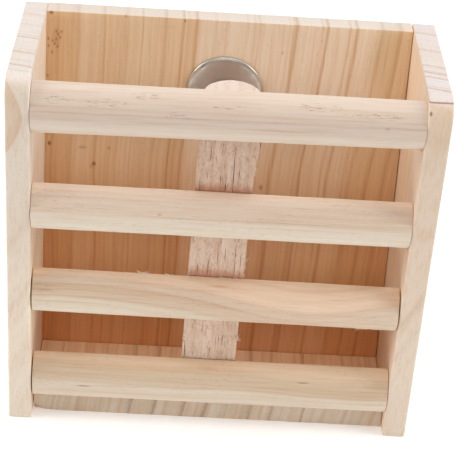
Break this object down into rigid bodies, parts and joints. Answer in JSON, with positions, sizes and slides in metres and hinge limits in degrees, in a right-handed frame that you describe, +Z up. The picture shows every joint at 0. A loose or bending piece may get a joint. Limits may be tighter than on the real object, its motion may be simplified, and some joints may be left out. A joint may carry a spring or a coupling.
{
  "type": "hay rack feeder",
  "caption": "Wedge-shaped pine hay box with half-round slats across its slanted front, clamped to a wire wall by a bolt, large washers and a wing nut.",
  "frame": {"origin": "centre of the rectangular footprint of the four boards, at the underside of the base", "axes": "+Z up, +X to the right as seen from the slatted front, +Y towards the back panel and out along the mounting bolt"},
  "size_m": [0.18, 0.1095, 0.177],
  "materials": {
    "side_pine": "bare sanded pine, pale",
    "back_pine": "bare sanded pine, vertical grain",
    "floor_pine": "bare sanded pine, end grain to the front",
    "slat_pine": "bare sanded pine, half-round moulding",
    "strut_pine": "bare pine, rough-sawn flat face",
    "zinc_steel": "zinc plated, satin",
    "nail_steel": "bright brad nails"
  },
  "bodies": {
    "feeder": {"back_panel": "back_pine", "bottom_board": "floor_pine", "centre_strut": "strut_pine", "inner_washer": "zinc_steel", "left_side_panel": "side_pine", "mounting_bolt": "zinc_steel", "nail_back_left_1": "nail_steel", "nail_back_left_2": "nail_steel", "nail_back_left_3": "nail_steel", "nail_back_right_1": "nail_steel", "nail_back_right_2": "nail_steel", "nail_back_right_3": "nail_steel", "nail_floor_left_1": "nail_steel", "nail_floor_left_2": "nail_steel", "nail_floor_right_1": "nail_steel", "nail_floor_right_2": "nail_steel", "nail_rear_1": "nail_steel", "nail_rear_2": "nail_steel", "nail_slat_bottom_left": "nail_steel", "nail_slat_bottom_right": "nail_steel", "nail_slat_lower_left": "nail_steel", "nail_slat_lower_right": "nail_steel", "nail_slat_top_left": "nail_steel", "nail_slat_top_right": "nail_steel", "nail_slat_upper_left": "nail_steel", "nail_slat_upper_right": "nail_steel", "nail_strut_slat_bottom": "nail_steel", "nail_strut_slat_lower": "nail_steel", "nail_strut_slat_top": "nail_steel", "nail_strut_slat_upper": "nail_steel", "right_side_panel": "side_pine", "slat_bottom": "slat_pine", "slat_lower": "slat_pine", "slat_top": "slat_pine", "slat_upper": "slat_pine"},
    "clamp_washer": {"outer_washer": "zinc_steel"},
    "clamp_nut": {"wing_nut": "zinc_steel"}
  },
  "joints": [
    {"name": "clamp_travel", "type": "slide", "parent": "feeder", "child": "clamp_washer", "axis": [0, 1, 0], "range_m": [0, 0.0115]},
    {"name": "nut_turn", "type": "hinge", "parent": "clamp_washer", "child": "clamp_nut", "pos_m": [-0.0008, 0.0325, 0.143], "axis": [0, 1, 0], "range_deg": [0, 4141]}
  ],
  "couplings": [
    {"joint": "nut_turn", "follows": "clamp_travel", "rad_per_m": 6283.2}
  ]
}
